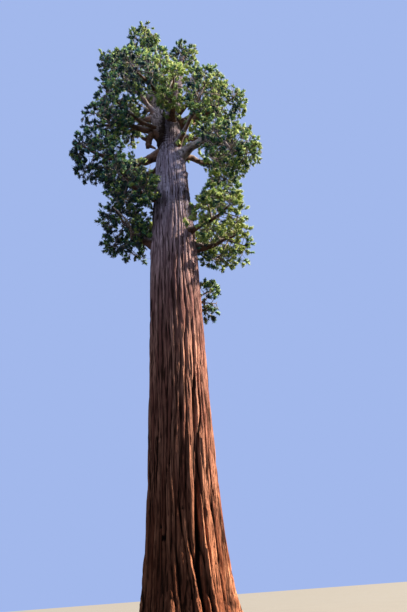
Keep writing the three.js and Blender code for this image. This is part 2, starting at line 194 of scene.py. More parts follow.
# Heights, and the furrows' depth and the strength of the painted shade in them there
FURROW_DEPTHS = [(0, 0.27), (6, 0.2), (17, 0.12), (24, 0.04)]
FURROW_SHADES = [(0, 1.2), (9, 1.1), (14, 1), (20, 0.34)]
# Noise that moves the furrows: how far, in furrows, the size of its lumps, and its seed
FURROW_STRAYS = [(1.3, (0.9, 0.9, 7.0), 1.9), (0.5, (0.3, 0.3, 2.0), 6.1)]
# Cross wrinkles of the bark in the crown: where they show, and the noise that moves and parts them
WRINKLE_DEPTH = 0.03
WRINKLE_SPACING = 0.27
WRINKLE_SHARPNESS = 1.5
# How dark the wrinkles are painted, as shade in them
WRINKLE_SHADE = 0.32
WRINKLED = [(17, 0), (19, 1), (25, 1), (27, 0)]
WRINKLE_STRAYS = [(1.6, (1.0, 1.0, 1.5), 5.3), (0.9, (0.3, 0.3, 0.5), 8.2)]
WRINKLE_PATCHES = [(1.8, (0.8, 0.8, 1.3), 2.8)]
WRINKLE_PATCH_MEAN = 0.9
# The deep fold that parts the right-hand buttress from the bole: height, and angle in degrees
FOLD = [(0.0, 297), (1.6, 292), (3.3, 297), (5.4, 303), (8.5, 301)]
FOLD_STRENGTH = [(0, 0.7), (1, 1), (5, 0.8), (8.5, 0)]
FOLD_HALF_WIDTH = 0.11
FOLD_DEPTH = 0.3
# How dark the fold is painted, as shade in it
FOLD_SHADE = 0.9
# Knobs where boughs were shed, and small dark scars: angle in degrees, height, radius, how proud
KNOBS = [
    (340, 21.6, 0.17, 0.13), (316, 19.9, 0.15, 0.08), (339, 18.9, 0.2, 0.14), (262, 26.0, 0.22, 0.12),
    (308, 19.8, 0.13, 0.08), (52, 20.4, 0.2, 0.13), (121, 17.3, 0.17, 0.1), (176, 21.0, 0.18, 0.12),
    (318, 16.5, 0.16, 0.1), (328, 14.6, 0.14, 0.08), (243, 2.54, 0.07, -0.12), (238, 2.9, 0.05, -0.05),
    (274, 3.45, 0.06, -0.07),
]
SMOOTH_PATCH = (248, 1.1, 0.62, 1.35)  # angle in degrees, height, half width, half height
PATCH_SMOOTHS = 0.6  # the share of the relief that it takes away
FOOT_HEIGHT = 0.02  # below this the bark doesn't swell, so that the flat cut keeps its size
LEVEL_TOLERANCE = 1e-3


def read_at(height, table):
    """Reads a table of heights and values at any height."""
    return np.interp(height, *zip(*table))


def trunk_radius(height):
    return read_at(height, TRUNK_RADII)


def trunk_axis(height):
    """How far to the right the trunk's middle stands at a height."""
    return LEADER_LEAN * np.clip((height - LEAN_FROM) / (TRUNK_TIP - LEAN_FROM), 0, None) ** LEAN_CURVE


def flutes(angle, height):
    flare = np.exp(-height / BUTTRESS_HEIGHT)
    ribs = BUTTRESS_DEPTH * flare * np.cos(BUTTRESSES * angle + BUTTRESS_TURN)
    return 1 + ribs + FLARE_TO_RIGHT * flare * np.cos(angle)


def noise_at(points, sizes, seed=0.0):
    """Smooth noise from about -0.7 to 0.7, with lumps of the given sizes."""
    scaled = points / np.asarray(sizes) + seed
    return np.array([noise.noise(point) for point in scaled.tolist()])


def noises_at(points, rows, start=0.0):
    """Noises added up, from rows of how strong each is, the size of its lumps, and its seed."""
    return sum((strength * noise_at(points, sizes, seed) for strength, sizes, seed in rows), start)


def bark_ridges(points, along, across):
    """1 on the crown of a ridge and 0 in a furrow, for ridges of that length and width."""
    stray = noise_at(points, RIDGE_STRAY_SIZES, 7.7)[:, None] * (RIDGE_STRAY * across)
    moved = points + stray * np.array([1, 1, 0])
    relief = 0.0
    for share, width, length, full, roundness, seed in RIDGE_KINDS:
        sizes = (across * width, across * width, along * length)
        relief += share * np.minimum(1, np.abs(noise_at(moved, sizes, seed)) / full) ** roundness
    return relief


def coordinates_of(mesh):
    flat = np.empty(len(mesh.vertices) * 3)
    mesh.vertices.foreach_get("co", flat)
    return flat.reshape(-1, 3)


def set_coordinates(mesh, points):
    mesh.vertices.foreach_set("co", points.astype(np.float32).ravel())
    mesh.update()


def set_share(mesh, name, values):
    """Keeps one number from 0 to 1 for each vertex, which a material reads by its name."""
    kept = mesh.attributes.new(name, "FLOAT", "POINT")
    kept.data.foreach_set("value", np.clip(values, 0, 1).astype(np.float32))


def switch_to(mode):
    bpy.ops.object.mode_set(mode=mode)


def select_upright_edges(low, high):
    """Selects, in edit mode, the edges that run up between two heights."""
    bpy.ops.mesh.select_all(action="DESELECT")
    switch_to("OBJECT")
    mesh = bpy.context.object.data
    for edge in mesh.edges:
        ends = sorted(mesh.vertices[i].co.z for i in edge.vertices)
        within = ends[0] > low - LEVEL_TOLERANCE and ends[1] < high + LEVEL_TOLERANCE
        edge.select = ends[0] < ends[1] and within
    switch_to("EDIT")


first_top = TRUNK_STRETCHES[0][0]
bpy.ops.mesh.primitive_cylinder_add(
    vertices=TRUNK_SIDES, radius=1, depth=first_top, end_fill_type="NGON", location=(0, 0, first_top / 2)
)
trunk = bpy.context.object
trunk.name = "trunk_bark"
bpy.ops.object.transform_apply(location=True, rotation=False, scale=False)
switch_to("EDIT")
bpy.ops.mesh.select_mode(type="FACE")
bpy.ops.mesh.select_all(action="DESELECT")
switch_to("OBJECT")
for face in trunk.data.polygons:
    face.select = face.normal.z > 0.9
switch_to("EDIT")
for below, (top, _) in zip(TRUNK_STRETCHES, TRUNK_STRETCHES[1:]):
    bpy.ops.mesh.extrude_region_move(TRANSFORM_OT_translate={"value": (0, 0, top - below[0])})
bpy.ops.mesh.select_mode(type="EDGE")
bottom = 0.0
for top, cuts in TRUNK_STRETCHES:
    select_upright_edges(bottom, top)
    bpy.ops.mesh.subdivide(number_cuts=cuts)
    bottom = top
switch_to("OBJECT")

points = coordinates_of(trunk.data)
height = points[:, 2]
angle = np.arctan2(points[:, 1], points[:, 0])
round_radius = trunk_radius(height)
on_bole = np.column_stack([np.cos(angle) * round_radius, np.sin(angle) * round_radius, height])
# The long furrows run up the whole bole and stray a little, and shorter ones lie between them.
turns = FURROWS_ROUND * angle / (2 * np.pi) + noises_at(on_bole, FURROW_STRAYS)
long_ridges = np.sin(np.pi * (turns % 1)) ** FURROW_SHARPNESS
short_ridges = bark_ridges(on_bole, RIDGE_WIDTH * RIDGE_STRETCH, RIDGE_WIDTH)
ridges = LONG_SHARE * long_ridges + SHORT_SHARE * short_ridges
# Each long ridge is weathered in its own way: its number sets it far from the others in the noise.
ridge_number = np.floor(turns)
of_ridge = np.column_stack([3.7 * ridge_number, 1.3 * ridge_number, height / TONE_LENGTH])
ridge_tone = 0.5 + TONE_SPREAD * noise_at(of_ridge, 1, 0.5)


def aside(from_angle):
    """How far round the bole each vertex lies from an angle in degrees, in metres."""
    turn = angle - np.radians(from_angle)
    return (np.mod(turn + np.pi, 2 * np.pi) - np.pi) * round_radius


patch_angle, patch_height, patch_width, patch_rise = SMOOTH_PATCH
in_patch = np.exp(-((aside(patch_angle) / patch_width) ** 4) - ((height - patch_height) / patch_rise) ** 4)
depth = read_at(height, FURROW_DEPTHS)
pressed = depth * (1 - PATCH_SMOOTHS * in_patch) * (ridges - MEAN_RIDGE)
pressed *= 1 + PALE_RELIEF * (ridge_tone - 0.5)
fold = np.exp(-((aside(read_at(height, FOLD)) / FOLD_HALF_WIDTH) ** 2))
fold *= read_at(height, FOLD_STRENGTH)
pressed -= FOLD_DEPTH * fold
wrinkle_turns = noises_at(on_bole, WRINKLE_STRAYS, height / WRINKLE_SPACING)
wrinkles = (0.5 + 0.5 * np.sin(2 * np.pi * wrinkle_turns)) ** WRINKLE_SHARPNESS
wrinkles *= read_at(height, WRINKLED)
wrinkles *= np.clip(noises_at(on_bole, WRINKLE_PATCHES, WRINKLE_PATCH_MEAN), 0, 1)
pressed -= WRINKLE_DEPTH * wrinkles
scars = np.zeros(len(points))
for knob_angle, knob_height, radius, proud in KNOBS:
    away = np.hypot(aside(knob_angle), height - knob_height) / radius
    pressed += proud * np.exp(-(away**2))
    scars += np.exp(-(away**2)) * (proud < 0)
at_foot = height < FOOT_HEIGHT
pressed[at_foot] = np.minimum(pressed[at_foot], 0)
full_radius = round_radius * flutes(angle, height) + pressed
points[:, 0] = np.cos(angle) * full_radius + trunk_axis(height)
points[:, 1] = np.sin(angle) * full_radius
set_coordinates(trunk.data, points)
# Painted shade: the furrows, wrinkles and fold are darkened where shade falls in them, and the scars are
# darker.
trunk_furrows = (1 - ridges) * read_at(height, FURROW_SHADES)
trunk_furrows += WRINKLE_SHADE * wrinkles + FOLD_SHADE * fold**3 + scars
set_share(trunk.data, "smooth", in_patch)
set_share(trunk.data, "tone", ridge_tone)
bpy.ops.object.shade_smooth()

# Fibrous bark: dull, with long fibres a few millimetres thick, drawn here 45 mm wide so that they
# show. Ridges weather to cinnamon, old bark turns mauve grey, and furrows and cracks get painted shade.
# Each pattern: its width, how many times longer it is, and its detail
FIBRES = (0.045, 26, 3)
FIBRE_RELIEF = (1.0, 0.11)  # strength, and depth
STREAKS = (0.2, 14, 4)  # pale and dark weathering
# Fine cracks, painted dark as shade in them
CRACKS = (0.12, 16, 2)
# The bark at the foot, on the bole and in the crown: darkest and palest streaks, and dark fibres
BARK_COLOURS = [
    ("#955b42", "#d89371", "#5c3426"),
    ("#aa7163", "#e6aa92", "#6a4640"),
    ("#7a6c77", "#a89dab", "#54484f"),
]


def stretched_noise(tree, width, stretch, detail):
    """A noise pattern drawn out along the trunk, from 0 to 1."""
    place = add_node(tree, "ShaderNodeTexCoord").outputs["Object"]
    scale = (1 / width, 1 / width, 1 / (width * stretch))
    drawn = add_node(tree, "ShaderNodeMapping", {"Scale": scale}, {"Vector": place})
    values = {"Scale": 1.0, "Detail": detail, "Roughness": 0.6}
    return add_node(tree, "ShaderNodeTexNoise", values, {"Vector": drawn.outputs[0]}).outputs[0]


def laid_over(tree, under, over, value, low, high, most=1.0):
    """One colour laid over another, from nothing where a value is low to the most where it is high.
    A colour is a hex value or another node's output."""
    limits = {"From Min": low, "From Max": high, "To Max": most}
    share = add_node(tree, "ShaderNodeMapRange", limits, {"Value": value}).outputs[0]
    values, links = {}, {0: share}
    for socket, colour in ((6, under), (7, over)):
        if isinstance(colour, str):
            values[socket] = linear(colour)
        else:
            links[socket] = colour
    return add_node(tree, "ShaderNodeMix", values, links, data_type="RGBA").outputs[2]


def finish(tree, colour, pattern, dull, less_dull, gloss, relief=None):
    """Ends a material: its colour, a dullness that follows a pattern, and the relief of that pattern."""
    limits = {"From Min": 0.2, "From Max": 0.8, "To Min": dull, "To Max": less_dull}
    dullness = add_node(tree, "ShaderNodeMapRange", limits, {"Value": pattern}).outputs[0]
    links = {"Base Color": colour, "Roughness": dullness}
    if relief:
        raised = {"Strength": relief[0], "Distance": relief[1]}
        links["Normal"] = add_node(tree, "ShaderNodeBump", raised, {"Height": pattern}).outputs[0]
    surface = add_node(tree, "ShaderNodeBsdfPrincipled", {"Specular IOR Level": gloss}, links)
    add_node(tree, "ShaderNodeOutputMaterial", links={"Surface": surface.outputs[0]})


bark = new_material("fibrous sequoia bark")
tree = bark.node_tree
fibres = stretched_noise(tree, *FIBRES)
streaks = stretched_noise(tree, *STREAKS)
cracks = stretched_noise(tree, *CRACKS)
furrow, smooth, tone = (
    add_node(tree, "ShaderNodeAttribute", attribute_name=name).outputs["Fac"]
    for name in ("furrow", "smooth", "tone")
)
place = add_node(tree, "ShaderNodeTexCoord").outputs["Object"]
above = add_node(tree, "ShaderNodeSeparateXYZ", links={0: place}).outputs[2]
both = add_node(tree, "ShaderNodeMath", links={0: streaks, 1: tone}, operation="ADD").outputs[0]
zones = []
for dark_streak, pale_streak, fibre in BARK_COLOURS:
    streaked = laid_over(tree, dark_streak, pale_streak, both, 0.75, 1.3)
    zones.append(laid_over(tree, streaked, fibre, fibres, 0.44, 0.6, 0.8))
foot_colour, bole_colour, crown_colour = zones
foot_colour = laid_over(tree, foot_colour, "#6b4030", smooth, 0.0, 1.0, 0.5)
bark_colour = laid_over(tree, foot_colour, bole_colour, above, 2.0, 9.0)
bark_colour = laid_over(tree, bark_colour, crown_colour, above, 9.5, 19.0)
# Painted shade: dark lines in the fine cracks of the bark
bark_colour = laid_over(tree, bark_colour, "#24130e", cracks, 0.45, 0.385, 0.88)
# Painted shade: near black in the furrows, wrinkles, fold and crease
bark_colour = laid_over(tree, bark_colour, "#1d100d", furrow, 0.26, 0.7)
finish(tree, bark_colour, fibres, dull=0.98, less_dull=0.84, gloss=0.1, relief=FIBRE_RELIEF)
trunk.data.materials.append(bark)

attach(trunk, "root")
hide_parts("trunk")


# Second leader, boughs and stems
# Living wood under thinner bark, scaly and fibrous. Each is one tapering limb, bent once, that swells
# into a collar where it leaves its parent, and runs on through its mass of foliage as the stem that
# bears the twigs. Each is drawn as a curve with a round section, and its bark is pressed in.

# The masses: name, centre, half sizes, the limb that its bough leaves, the height and the bough's
# radius there, the point that bends it, its name, and the group that twigs and needles are joined by
MASSES = [
    ("crown_top", (-1.85, 0.3, 37.3), (1.55, 1.5, 2.75), "trunk", 23.0, 0.58, (-1.05, -0.15, 29.3),
     "left_leader", "top"),
    ("second_top", (1.3, 0.3, 35.3), (1.15, 1.05, 1.7), "trunk", 34.1, 0.17, (1.15, 0.1, 35.0),
     None, "top"),
    ("top_saddle", (-0.26, -2.2, 29.6), (1.45, 1.3, 1.8), "trunk", 28.0, 0.15, (0.1, -1.4, 28.5),
     None, "top"),
    ("upper_left", (-3.6, -0.4, 33.0), (1.7, 1.65, 2.21), "leader", 29.6, 0.2, (-3.0, -0.2, 31.0),
     "bough_upper_left", "top"),
    ("left_shoulder", (-3.9, 0.9, 29.9), (1.7, 1.55, 1.95), "leader", 27.6, 0.2, (-2.6, 0.5, 28.0),
     "bough_left_shoulder", "left"),
    ("left_inner", (-2.9, -1.9, 30.0), (1.5, 1.36, 1.95), "leader", 27.4, 0.17, (-1.6, -1.0, 28.5),
     "bough_left_inner", "left"),
    ("leader_back", (-1.95, 1.9, 31.3), (1.3, 1.2, 1.7), "leader", 28.9, 0.13, (-1.6, 1.0, 29.6),
     None, "top"),
    ("left_middle", (-3.95, -0.6, 26.5), (1.75, 1.55, 1.95), "trunk", 24.9, 0.27, (-2.1, -0.3, 27.3),
     "bough_left_arched", "left"),
    ("far_left", (-4.3, -1.1, 22.9), (1.8, 1.65, 1.95), "trunk", 24.3, 0.3, (-2.6, -0.3, 21.8),
     "bough_left_thick", "left"),
    ("left_under", (-2.5, 1.2, 22.4), (1.5, 1.4, 1.9), "trunk", 21.6, 0.14, (-1.6, 0.7, 21.4),
     None, "left"),
    ("lower_left_front", (-2.05, -1.7, 19.5), (1.75, 1.5, 1.95), "trunk", 19.8, 0.22,
     (-1.5, -0.9, 19.0), "bough_lower_left_front", "low"),
    ("lower_left", (-2.65, -0.4, 17.8), (1.6, 1.6, 2.3), "trunk", 16.4, 0.28, (-1.9, -0.1, 16.4),
     "bough_lower_left", "low"),
    ("front_centre", (0.5, -3.0, 26.3), (1.5, 1.36, 1.69), "trunk", 26.6, 0.22, (0.4, -1.8, 25.9),
     "bough_front", "front"),
    ("front_left", (-2.9, -2.5, 25.7), (1.4, 1.31, 1.76), "leader", 26.2, 0.15, (-1.8, -1.3, 25.4),
     None, "front"),
    ("front_far", (-1.4, -4.3, 25.9), (1.55, 1.46, 1.82), "trunk", 28.0, 0.2, (-0.4, -2.4, 26.6),
     "bough_front_far", "front"),
    ("front_right", (2.2, -3.2, 25.1), (1.5, 1.36, 1.82), "trunk", 23.9, 0.22, (1.2, -1.5, 24.0),
     "bough_front_right", "front"),
    ("upper_right", (2.4, -1.5, 28.3), (1.45, 1.45, 1.85), "trunk", 27.6, 0.16, (1.7, -0.9, 27.8),
     "bough_upper_right", "right"),
    ("right_top", (3.9, 0.3, 29.2), (1.7, 1.55, 2.21), "trunk", 26.2, 0.32, (1.8, 0.0, 27.7),
     "bough_right_rising", "right"),
    ("right_front", (3.3, -2.3, 21.6), (1.8, 1.5, 1.95), "trunk", 22.7, 0.3, (2.6, -1.3, 25.2),
     "bough_right_front", "right"),
    ("right_outer", (4.0, 0.0, 23.9), (1.85, 1.6, 2.1), "trunk", 25.3, 0.2, (2.2, 0.1, 25.7),
     "bough_right_level", "right"),
    ("right_hanging", (2.95, 0.4, 20.7), (1.35, 1.35, 1.6), "trunk", 18.4, 0.2, (1.75, 0.2, 19.4),
     "bough_right_low", "right"),
    ("lower_right_front", (2.5, -1.9, 16.8), (1.55, 1.46, 1.65), "trunk", 17.2, 0.2, (1.4, -1.0, 16.5),
     "bough_lower_right_front", "low"),
    ("lower_right", (2.85, 0.1, 16.6), (1.65, 1.55, 1.89), "trunk", 16.4, 0.26, (1.9, 0.0, 15.9),
     "bough_lower_right", "low"),
    ("low_tuft", (1.65, 1.2, 13.7), (0.66, 0.72, 1.42), "trunk", 13.0, 0.09, (1.25, 0.95, 12.95),
     None, "low"),
    ("back_low_left", (-2.4, 3.1, 20.0), (1.7, 1.55, 1.89), "trunk", 18.6, 0.22, (-1.3, 1.6, 18.6),
     "bough_back_low_left", "back_low"),
    ("back_low_right", (2.5, 3.1, 19.1), (1.7, 1.55, 1.89), "trunk", 17.6, 0.22, (1.3, 1.5, 17.2),
     "bough_back_low_right", "back_low"),
    ("back_middle", (-0.3, 4.1, 23.0), (1.65, 1.55, 1.89), "trunk", 21.2, 0.22, (0.0, 2.1, 21.5),
     "bough_back_middle", "back_low"),
    ("back_left", (-3.6, 3.3, 25.6), (1.7, 1.6, 2.02), "trunk", 23.2, 0.24, (-1.9, 1.6, 23.7),
     "bough_back_left", "back_low"),
    ("back_right", (3.6, 3.2, 26.2), (1.7, 1.6, 2.02), "trunk", 24.2, 0.24, (1.9, 1.5, 24.4),
     "bough_back_right", "back_high"),
    ("back_far", (0.0, 4.2, 29.4), (1.5, 1.5, 2.3), "trunk", 26.6, 0.2, (0.2, 2.3, 27.6),
     "bough_back_far", "back_high"),
    ("back_upper_left", (-3.9, 3.1, 30.4), (1.55, 1.46, 1.95), "leader", 28.5, 0.17,
     (-2.2, 1.7, 29.0), "bough_back_upper_left", "back_high"),
    ("back_upper_right", (2.8, 2.8, 30.9), (1.55, 1.46, 1.95), "trunk", 27.4, 0.17,
     (1.6, 1.7, 28.4), "bough_back_upper_right", "back_high"),
    ("back_top", (-0.3, 2.2, 34.3), (1.5, 1.46, 2.08), "trunk", 30.4, 0.14, (0.5, 1.5, 31.4),
     None, "back_high"),
]
STEM_REACH = 0.5  # how far past the centre the stem goes, as a share of the half size
LIMB_TIP_SHARE = 0.16  # the limb's radius at the far end of its stem, as a share of its first
MASS_MOUTH = 0.9  # scaled distance from the centre at which the bough gives way to the stem
CURVE_STEP = 0.002
SPARSE = 10  # every so many steps are enough to tell how far the leader is


class Mass:
    """One mass of foliage: its egg-shaped space, and the line of its bough and stem."""

    def __init__(self, name, centre, half, limb, height, radius, bend, bough, group):
        self.name, self.bough, self.group, self.limb = name, bough, group, limb
        self.centre, self.half = np.array(centre), np.array(half)
        self.height, self.radius, self.bend = height, radius, np.array(bend)

    def set_root(self, root):
        onward = self.centre - self.bend
        onward /= np.linalg.norm(onward)
        self.root = np.array(root, float)
        self.end = self.centre + onward * self.half * STEM_REACH

    def point(self, share):
        share = np.asarray(share, float)[..., None]
        return (1 - share) ** 2 * self.root + 2 * share * (1 - share) * self.bend + share**2 * self.end

    def limb_radius(self, share):
        return self.radius * (1 - (1 - LIMB_TIP_SHARE) * share)

    def distance(self, points):
        """Distance from the centre, 1 on the skin of the space."""
        return np.linalg.norm((points - self.centre) / self.half, axis=-1)


masses = [Mass(*row) for row in MASSES]
leader = masses[0]
leader.set_root((0, 0, leader.height))
shares = np.arange(0, 1 + CURVE_STEP, CURVE_STEP)
leader_line = leader.point(shares)
for mass in masses[1:]:
    if mass.limb == "trunk":
        mass.set_root((trunk_axis(mass.height), 0, mass.height))
    else:
        mass.set_root(leader_line[np.argmax(leader_line[:, 2] >= mass.height)])


def clear_of_trunk(points):
    from_axis = np.hypot(points[:, 0] - trunk_axis(points[:, 2]), points[:, 1])
    return np.where(points[:, 2] > TRUNK_TIP, 1.0, from_axis - trunk_radius(points[:, 2]))


def clear_of_leader(points):
    nearest = np.abs(points[:, 2, None] - leader_line[None, ::SPARSE, 2]).argmin(axis=1)
    from_line = np.linalg.norm(points - leader_line[::SPARSE][nearest], axis=1)
    return from_line - leader.limb_radius(shares[::SPARSE][nearest])


def clear_of_wood(points):
    """How far points lie outside the trunk and the second leader."""
    return np.minimum(clear_of_trunk(points), clear_of_leader(points))


for mass in masses:
    line = mass.point(shares)
    inside = mass.distance(line) <= MASS_MOUTH
    mass.mouth = shares[np.argmax(inside)] if mass.bough else 0.0
    mass.leaves = 0.0 if mass is leader else shares[np.argmax(clear_of_wood(line) > 0)]

# Bark of the limbs: dull brown scales and fibres, some 50 mm wide as drawn, orange-brown below. The
# upper side is grey, partly from weathering and partly as painted light from above; furrows get painted
# shade.
LIMB_FIBRES = (0.05, 1.6, 4)
BLOTCHES = (0.3, 1.5, 3)
LIMB_FIBRE_RELIEF = (0.6, 0.02)
limb_bark = new_material("weathered limb bark")
tree = limb_bark.node_tree
fibres = stretched_noise(tree, *LIMB_FIBRES)
blotches = stretched_noise(tree, *BLOTCHES)
furrow, upper = (
    add_node(tree, "ShaderNodeAttribute", attribute_name=name).outputs["Fac"]
    for name in ("furrow", "upper")
)
below_colour = laid_over(tree, "#4c362c", "#7d5a47", blotches, 0.35, 0.65)
above_colour = laid_over(tree, "#83787a", "#b3a9a7", blotches, 0.35, 0.65)
# The upper side turns grey: partly weathering, partly painted light from above
limb_colour = laid_over(tree, below_colour, above_colour, upper, 0.3, 0.62)
limb_colour = laid_over(tree, limb_colour, "#4a332b", fibres, 0.35, 0.7, 0.6)
# Painted shade: near black in the furrows of the limb bark
limb_colour = laid_over(tree, limb_colour, "#221611", furrow, 0.28, 0.8)
finish(tree, limb_colour, fibres, dull=0.95, less_dull=0.8, gloss=0.25, relief=LIMB_FIBRE_RELIEF)

LIMB_RIDGE_WIDTH = 0.1
LIMB_RIDGE_STRETCH = 5
MEAN_LIMB_RIDGE = 0.6  # the relief that neither swells a limb nor thins it
LIMB_LUMPS = (0.3, 0.4)  # how much they swell it, and their size
COLLAR_SWELL = 0.45  # how much wider the limb is where it leaves its parent
COLLAR_LENGTH = 1.4  # times its radius
LIMB_WANDER = 0.13  # how far a limb strays from its even line
WANDER_SIZE = 1.1
WANDER_FROM = 1.2  # the stretch over which it begins to stray
ASKEW = (0.31, 0.9, 0.3)  # no limb runs this way


def unit(way):
    return way / np.linalg.norm(way, axis=-1, keepdims=True)


def limb_piece(name, corners, radii, sides, rows, furrows, paler=0.0, collar=None):
    """A limb along a curve with four control points, with its bark pressed in. Up to the collar it
    stands in its parent."""
    bpy.ops.object.select_all(action="DESELECT")
    bpy.ops.curve.primitive_bezier_curve_add()
    drawn = bpy.context.object
    start, stop = drawn.data.splines[0].bezier_points
    for end, radius in ((start, radii[0]), (stop, radii[1])):
        end.handle_left_type = end.handle_right_type = "FREE"
        end.radius = radius
    start.co, start.handle_right, stop.handle_left, stop.co = corners
    start.handle_left = start.co
    stop.handle_right = stop.co
    drawn.data.resolution_u = rows
    drawn.data.bevel_depth = 1.0
    drawn.data.bevel_resolution = (sides - 4) // 2
    drawn.data.use_fill_caps = True
    bpy.ops.object.convert(target="MESH")
    piece = bpy.context.object
    piece.name = name
    bpy.ops.object.transform_apply(location=True, rotation=True, scale=True)
    switch_to("EDIT")
    bpy.ops.mesh.select_all(action="SELECT")
    bpy.ops.mesh.remove_doubles(threshold=1e-5)
    bpy.ops.mesh.normals_make_consistent(inside=False)
    switch_to("OBJECT")

    a, b, c, d = (np.array(corner, float) for corner in corners)
    t = np.linspace(0, 1, 4 * rows)[:, None]
    line = (1 - t) ** 3 * a + 3 * t * (1 - t) ** 2 * b + 3 * t**2 * (1 - t) * c + t**3 * d
    way = unit(np.gradient(line, axis=0))
    travelled = np.concatenate([[0], np.linalg.norm(np.diff(line, axis=0), axis=1).cumsum()])
    points = coordinates_of(piece.data)
    nearest = np.linalg.norm(points[:, None] - line[None], axis=2).argmin(axis=1)
    out = points - line[nearest]
    side = unit(np.cross(way[nearest], ASKEW))
    over = np.cross(way[nearest], side)
    along = travelled[nearest]
    local = np.column_stack([(out * side).sum(1), (out * over).sum(1), along])
    # The thicker the limb, the coarser its bark. Its place keeps its pattern apart from the others'.
    ridge_width = LIMB_RIDGE_WIDTH * (0.5 + 1.5 * radii[0])
    own_place = local + np.array(corners[0])
    ridges = bark_ridges(own_place, ridge_width * LIMB_RIDGE_STRETCH, ridge_width)
    lumps = noise_at(points, LIMB_LUMPS[1], 2.2)
    swell = 1 + furrows * (ridges - MEAN_LIMB_RIDGE) + LIMB_LUMPS[0] * lumps
    if collar is not None:
        swell += COLLAR_SWELL * np.exp(-np.maximum(0, along - collar) / (COLLAR_LENGTH * radii[0]))
    far = np.minimum(1, along / WANDER_FROM) * LIMB_WANDER
    stray = np.column_stack([noise_at(line[nearest], WANDER_SIZE, seed) for seed in (0.3, 4.6, 8.9)])
    set_coordinates(piece.data, line[nearest] + out * swell[:, None] + stray * far[:, None])
    length = np.maximum(1e-6, np.linalg.norm(out, axis=1))
    # Where the material paints shade in the furrows
    set_share(piece.data, "furrow", 1 - ridges)
    # How far up the limb faces, for its grey of weathering and painted light; the last term makes the
    # whole limb paler or browner
    set_share(piece.data, "upper", 0.5 + 0.5 * out[:, 2] / length + paler)
    bpy.ops.object.shade_smooth()
    piece.data.materials.append(limb_bark)
    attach(piece, "root")
    return piece


def cubic_corners(mass, start, stop):
    """The control points of the stretch of a mass's line from start to stop."""
    first, last = mass.point(start), mass.point(stop)
    slope = 2 * (1 - start) * (mass.bend - mass.root) + 2 * start * (mass.end - mass.bend)
    middle = first + slope * (stop - start) / 2
    return first, first + (middle - first) * 2 / 3, last + (middle - last) * 2 / 3, last


ROOT_SUNK = 0.45  # how deep a limb's root stands in its parent, in metres
# Limbs that are paler all round, or browner than the rest, by how much
PALER_LIMBS = {
    "right_front": 0.45, "upper_left": 0.3, "left_inner": 0.2, "front_right": 0.25, "far_left": -0.2,
    "right_top": -0.15,
}
# Sides, rows, and furrows as a share of the radius
LEADER_FACES = (56, 180, 0.26)
LIMB_SIDES = 22
LIMB_ROWS = (26, 9)  # and so many more to a metre
LIMB_FURROWS = 0.2
for mass in masses:
    span = np.linalg.norm(mass.point(1.0) - mass.point(0.0))
    start = max(0.0, mass.leaves - ROOT_SUNK / span)
    name = (mass.bough or f"stem_{mass.name}") + "_bark"
    corners = cubic_corners(mass, start, 1.0)
    radii = (mass.limb_radius(start), mass.limb_radius(1.0))
    paler = PALER_LIMBS.get(mass.name, 0.0)
    if mass is leader:
        piece = leader_piece = limb_piece(name, corners, radii, *LEADER_FACES, paler)
    else:
        rows = int(LIMB_ROWS[0] + LIMB_ROWS[1] * span)
        collar = (mass.leaves - start) * span
        piece = limb_piece(name, corners, radii, LIMB_SIDES, rows, LIMB_FURROWS, paler, collar)
    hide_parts(mass.bough or f"foliage_{mass.name}")

# Painted shade: a dark crease runs up where the second leader parts from the trunk.
CREASE_WIDTH = 0.16
CREASED = [(21, 0), (22.5, 1), (27.5, 1), (29, 0)]  # heights, and how much of it shows
LEADER_SHADE = 0.16  # the second leader's bark is darker all over
crease = np.exp(-((clear_of_leader(points) / CREASE_WIDTH) ** 2)) * read_at(height, CREASED)
set_share(trunk.data, "furrow", trunk_furrows + crease)
leader_points = coordinates_of(leader_piece.data)
crease = np.exp(-((clear_of_trunk(leader_points) / CREASE_WIDTH) ** 2))
kept = leader_piece.data.attributes["furrow"].data
leader_furrows = np.empty(len(kept))
kept.foreach_get("value", leader_furrows)
kept.foreach_set("value", np.minimum(1, leader_furrows + LEADER_SHADE + crease).astype(np.float32))


# Dead wood
# A broken brown stub hangs from the arched bough on the left, and a short bleached limb without bark
# sticks out of the lowest mass there. They are drawn as the boughs are, and furrowed more deeply.

# Bare wood that the weather has bleached: pale and dull, with darker grain some 60 mm wide as drawn
GRAIN = (0.06, 2.0, 4)
dead_wood = new_material("bleached dead wood")
tree = dead_wood.node_tree
grain = stretched_noise(tree, *GRAIN)
wood_colour = laid_over(tree, "#6a5347", "#b3a291", grain, 0.4, 0.62)
finish(tree, wood_colour, grain, dull=0.9, less_dull=0.7, gloss=0.3)

DEAD_SIDES = 14
DEAD_ROWS = 26
DEAD_FURROWS = 0.45
DEAD_PALER = -0.3  # the stub's bark is browner
DEAD_LIMBS = [
    ("dead_stub", [(-1.12, -0.3, 25.5), (-1.2, -0.45, 25.0), (-1.36, -0.5, 24.6), (-1.3, -0.5, 24.0)],
     (0.2, 0.15), limb_bark),
    ("dead_stub_knot", [(-1.2, -0.45, 24.9), (-1.4, -0.5, 24.8), (-1.55, -0.5, 24.8),
                        (-1.68, -0.5, 24.95)], (0.13, 0.08), limb_bark),
    ("dead_stub_hook", [(-1.3, -0.5, 24.25), (-1.15, -0.5, 24.05), (-1.0, -0.5, 24.0),
                        (-0.88, -0.5, 23.85)], (0.11, 0.05), limb_bark),
    ("dead_limb", [(-2.2, -0.3, 16.9), (-2.1, -0.9, 17.1), (-2.15, -1.4, 17.3), (-2.87, -1.6, 18.1)],
     (0.07, 0.03), dead_wood),
]
for name, corners, radii, material in DEAD_LIMBS:
    piece = limb_piece(name, corners, radii, DEAD_SIDES, DEAD_ROWS, DEAD_FURROWS, DEAD_PALER)
    piece.data.materials[0] = material


